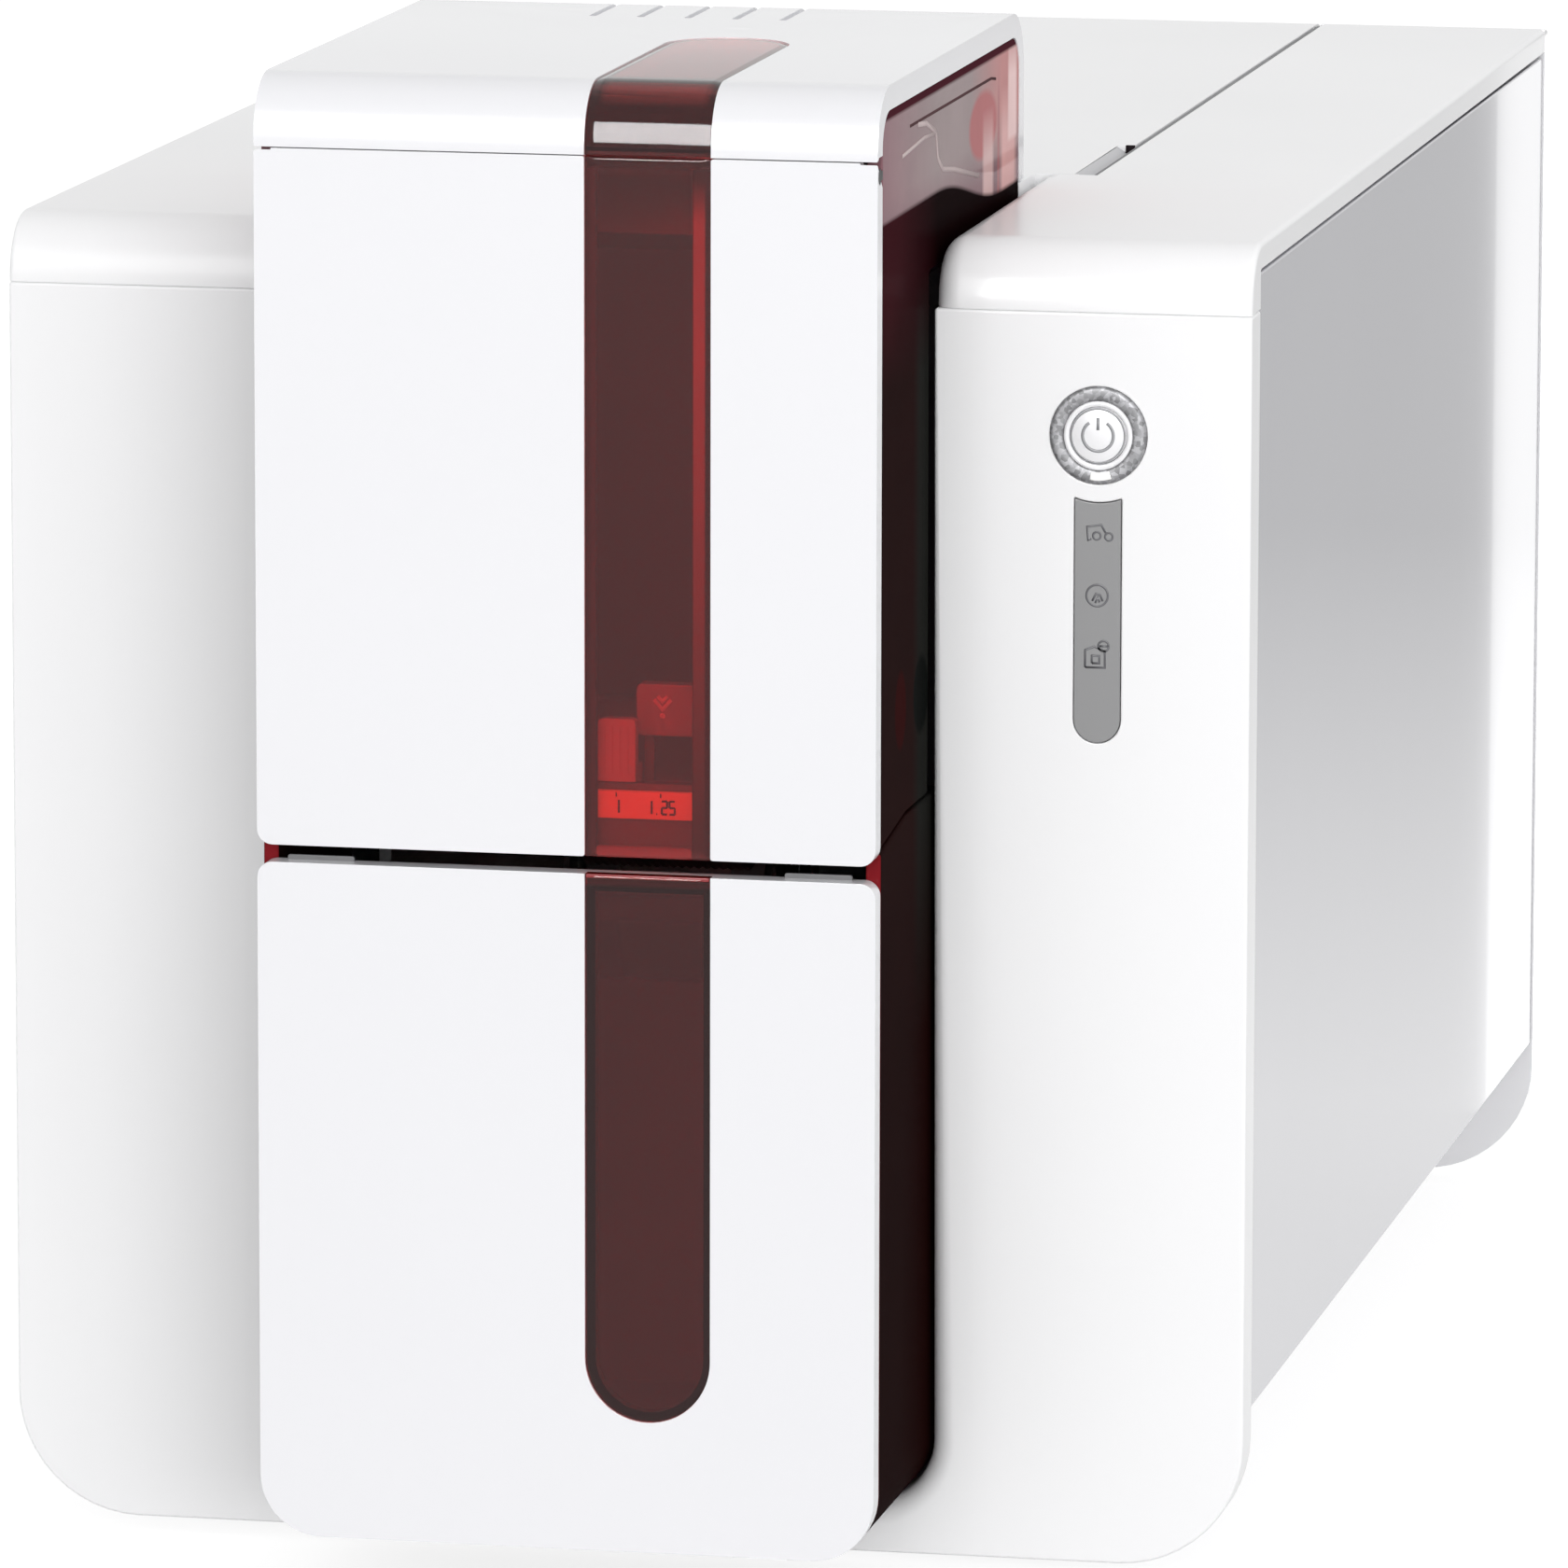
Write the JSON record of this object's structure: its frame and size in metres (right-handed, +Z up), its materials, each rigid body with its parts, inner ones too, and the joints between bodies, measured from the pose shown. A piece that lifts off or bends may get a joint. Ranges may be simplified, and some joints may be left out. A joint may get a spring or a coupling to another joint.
{
  "type": "id card printer",
  "caption": "Desktop printer for plastic id cards, with a projecting front hood, an upper feeder door, a lower output door and a rear-hinged lid.",
  "frame": {"origin": "on the table, under the middle of the printer", "axes": "+X to the right as seen from the front, +Y to the back, +Z up"},
  "size_m": [0.205, 0.381, 0.247],
  "materials": {
    "shell": "fine satin texture",
    "panel_gloss": "high gloss",
    "tray": "satin",
    "rubber_dark": "matte",
    "shroud_red": "glossy, deep translucent red",
    "window_red": "glossy, smoked translucent red",
    "bin_dark": "matte",
    "scale_red": "glossy",
    "steel": "brushed",
    "board": "lacquered",
    "socket_black": "matte",
    "socket_metal": "stamped",
    "chrome": "polished",
    "lamp_grey": "glossy",
    "motor_grey": "satin",
    "belt_black": "matte",
    "hinge_black": "matte",
    "head_ceramic": "glazed",
    "aluminium": "extruded",
    "button_white": "glossy",
    "lever_light": "satin",
    "weight_grey": "satin",
    "cleaner_red": "tacky, smooth",
    "ribbon_black": "satin film"
  },
  "bodies": {
    "base": {"front_frame": "shell", "left_casing": "shell", "right_casing": "shell", "left_side_panel": "panel_gloss", "right_side_panel": "panel_gloss", "rear_panel": "shell", "base_tray": "tray", "foot_front_left": "rubber_dark", "foot_front_right": "rubber_dark", "foot_rear_left": "rubber_dark", "foot_rear_right": "rubber_dark", "hopper_shroud": "shroud_red", "output_bin": "bin_dark", "feeder_tray": "bin_dark", "card_scale": "scale_red", "left_plate": "steel", "right_plate": "steel", "output_hinge_left": "shell", "output_hinge_right": "shell", "lid_pin_left": "steel", "lid_pin_right": "steel", "main_board": "board", "power_socket": "socket_black", "usb_socket": "socket_metal", "network_socket": "socket_metal", "control_board": "board", "button_ring": "chrome", "indicator_strip": "lamp_grey", "drive_motor": "motor_grey", "motor_belt": "belt_black", "platen_belt": "belt_black", "pick_belt": "belt_black"},
    "lid": {"lid_panel": "shell", "hood_band": "shell", "hood_window": "window_red", "left_cheek": "shroud_red", "right_cheek": "shroud_red", "door_hinge_left": "hinge_black", "door_hinge_right": "hinge_black", "head_bracket": "steel", "print_head": "head_ceramic", "head_heatsink": "aluminium"},
    "feeder_door": {"feeder_door": "shell", "feeder_window": "window_red"},
    "output_door": {"output_door": "shell", "output_window": "window_red"},
    "power_button": {"power_button": "button_white"},
    "gauge_lever": {"gauge_lever": "lever_light"},
    "card_weight": {"card_weight": "weight_grey"},
    "motor_pulley": {"motor_pulley": "steel"},
    "platen": {"platen_shaft": "steel", "platen_roller": "rubber_dark"},
    "cleaner": {"cleaning_shaft": "steel", "cleaning_roller": "cleaner_red"},
    "picker": {"pick_shaft": "steel", "pick_roller": "rubber_dark"},
    "ribbon_supply": {"ribbon_supply": "ribbon_black"},
    "ribbon_takeup": {"ribbon_takeup": "ribbon_black"}
  },
  "joints": [
    {"name": "lid_hinge", "type": "hinge", "parent": "base", "child": "lid", "pos_m": [0, 0.183, 0.2106], "axis": [-1, 0, 0], "range_deg": [0, 50]},
    {"name": "feeder_door_hinge", "type": "hinge", "parent": "lid", "child": "feeder_door", "pos_m": [0, -0.1885, 0.2334], "axis": [-1, 0, 0], "range_deg": [0, 100]},
    {"name": "output_door_hinge", "type": "hinge", "parent": "base", "child": "output_door", "pos_m": [0, -0.1885, 0.013], "axis": [1, 0, 0], "range_deg": [0, 50]},
    {"name": "power_button_press", "type": "slide", "parent": "base", "child": "power_button", "axis": [0, 1, 0], "range_m": [0, 0.0012], "stiffness_N_per_m": 400, "springref_m": -0.002},
    {"name": "gauge_lever_slide", "type": "slide", "parent": "base", "child": "gauge_lever", "axis": [1, 0, 0], "range_m": [-0.0216, 0.0072]},
    {"name": "card_weight_slide", "type": "slide", "parent": "base", "child": "card_weight", "axis": [0, 0, 1], "range_m": [0, 0.065]},
    {"name": "motor_spin", "type": "hinge", "parent": "base", "child": "motor_pulley", "pos_m": [0, 0.0212, 0.08], "axis": [1, 0, 0], "continuous": true},
    {"name": "platen_spin", "type": "hinge", "parent": "base", "child": "platen", "pos_m": [0, -0.0028, 0.1182], "axis": [1, 0, 0], "continuous": true},
    {"name": "cleaner_spin", "type": "hinge", "parent": "base", "child": "cleaner", "pos_m": [0, -0.0748, 0.1182], "axis": [1, 0, 0], "continuous": true},
    {"name": "picker_spin", "type": "hinge", "parent": "base", "child": "picker", "pos_m": [0, -0.1108, 0.1182], "axis": [1, 0, 0], "continuous": true},
    {"name": "ribbon_supply_spin", "type": "hinge", "parent": "base", "child": "ribbon_supply", "pos_m": [0, 0.0532, 0.165], "axis": [1, 0, 0], "continuous": true},
    {"name": "ribbon_takeup_spin", "type": "hinge", "parent": "base", "child": "ribbon_takeup", "pos_m": [0, -0.0608, 0.165], "axis": [1, 0, 0], "continuous": true}
  ],
  "couplings": [
    {"joint": "platen_spin", "follows": "motor_spin", "ratio": 1},
    {"joint": "cleaner_spin", "follows": "motor_spin", "ratio": 1},
    {"joint": "picker_spin", "follows": "motor_spin", "ratio": 1}
  ]
}
